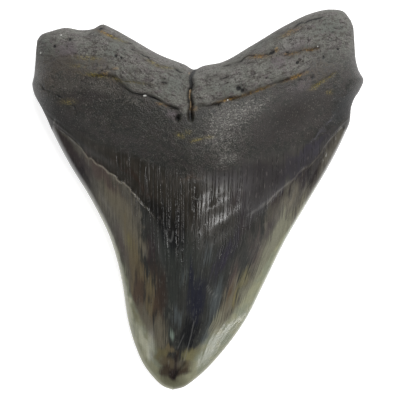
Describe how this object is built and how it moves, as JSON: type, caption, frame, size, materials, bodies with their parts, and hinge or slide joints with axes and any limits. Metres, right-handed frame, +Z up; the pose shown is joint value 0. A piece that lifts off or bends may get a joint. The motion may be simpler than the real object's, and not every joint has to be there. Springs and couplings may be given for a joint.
{
  "type": "megalodon tooth",
  "caption": "Fossil shark tooth: broad triangular crown with a rounded tip, smooth neck and rough forked root, lying on its flat labial face.",
  "frame": {"origin": "under the middle of the tooth's outline, on the surface that it lies on", "axes": "+X across the tooth, -Y to the tip, +Y to the root, +Z up out of the domed lingual face"},
  "size_m": [0.101, 0.1168, 0.0262],
  "materials": {
    "fossil": "mineralised tooth: rough matt root, satin neck, polished enamel"
  },
  "bodies": {
    "root": {"tooth": "fossil"}
  },
  "joints": []
}
